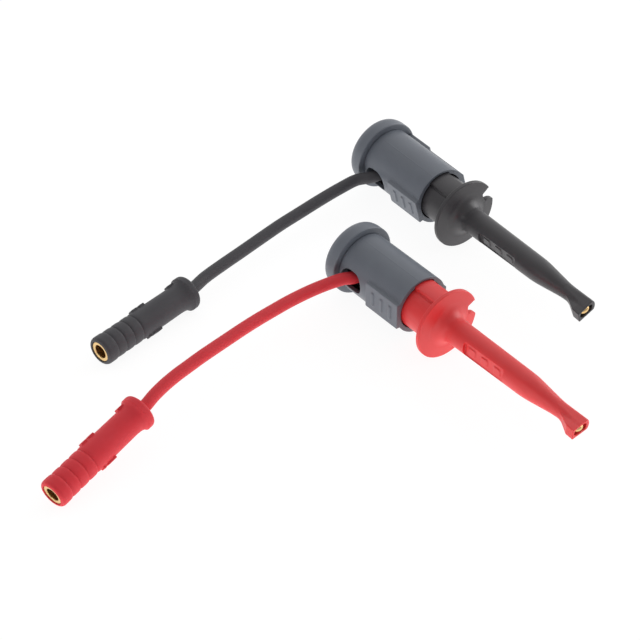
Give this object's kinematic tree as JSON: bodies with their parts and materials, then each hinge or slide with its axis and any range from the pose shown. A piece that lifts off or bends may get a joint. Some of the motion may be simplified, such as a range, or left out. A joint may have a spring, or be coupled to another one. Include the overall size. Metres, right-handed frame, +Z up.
{
  "type": "pair of spring-loaded hook test clips",
  "caption": "Spring-loaded hook test clips, one red and one black: grey barrel with side lead to an in-line 4 mm socket, and a sliding nose tube that uncovers a gilt hook.",
  "frame": {"origin": "on the ground, at the middle of the bottom of the box round the two clips, measured without their free leads and sockets", "axes": "+X along the red clip from its cap to its hook, +Z up from the ground, -Y to the side on which the leads and sockets lie"},
  "size_m": [0.128, 0.1673, 0.0212],
  "materials": {
    "grey_plastic": "moulded, satin",
    "red_plastic": "moulded nylon, satin",
    "black_plastic": "moulded nylon, satin",
    "red_silicone": "soft, matt",
    "black_silicone": "soft, matt",
    "gilt_wire": "gold plated, bright",
    "gilt_contact": "turned, gold plated",
    "brass": "turned, bare",
    "spring_steel": "drawn wire",
    "copper_strands": "fine bare strands"
  },
  "bodies": {
    "handles": {"red_handle_barrel": "grey_plastic", "red_handle_cap": "grey_plastic", "red_wire_anchor": "brass", "red_spring_seat": "grey_plastic", "red_hook_wire": "gilt_wire", "red_return_spring": "spring_steel", "red_lead_handle_end": "red_silicone", "red_lead_handle_core": "copper_strands", "red_lead": "red_silicone", "red_socket_sleeve": "red_silicone", "red_socket_contact": "gilt_contact", "red_lead_socket_end": "red_silicone", "red_lead_socket_core": "copper_strands", "black_handle_barrel": "grey_plastic", "black_handle_cap": "grey_plastic", "black_wire_anchor": "brass", "black_spring_seat": "grey_plastic", "black_hook_wire": "gilt_wire", "black_return_spring": "spring_steel", "black_lead_handle_end": "black_silicone", "black_lead_handle_core": "copper_strands", "black_lead": "black_silicone", "black_socket_sleeve": "black_silicone", "black_socket_contact": "gilt_contact", "black_lead_socket_end": "black_silicone", "black_lead_socket_core": "copper_strands"},
    "red_nose": {"red_nose_tube": "red_plastic", "red_nose_washer": "brass"},
    "black_nose": {"black_nose_tube": "black_plastic", "black_nose_washer": "brass"}
  },
  "joints": [
    {"name": "red_nose_slide", "type": "slide", "parent": "handles", "child": "red_nose", "axis": [-1, 0, 0], "range_m": [0, 0.0085], "stiffness_N_per_m": 300, "springref_m": -0.01, "deforming": ["red_return_spring"]},
    {"name": "black_nose_slide", "type": "slide", "parent": "handles", "child": "black_nose", "axis": [-0.9995, 0.0323, 0], "range_m": [0, 0.0085], "stiffness_N_per_m": 300, "springref_m": -0.01, "deforming": ["black_return_spring"]}
  ]
}
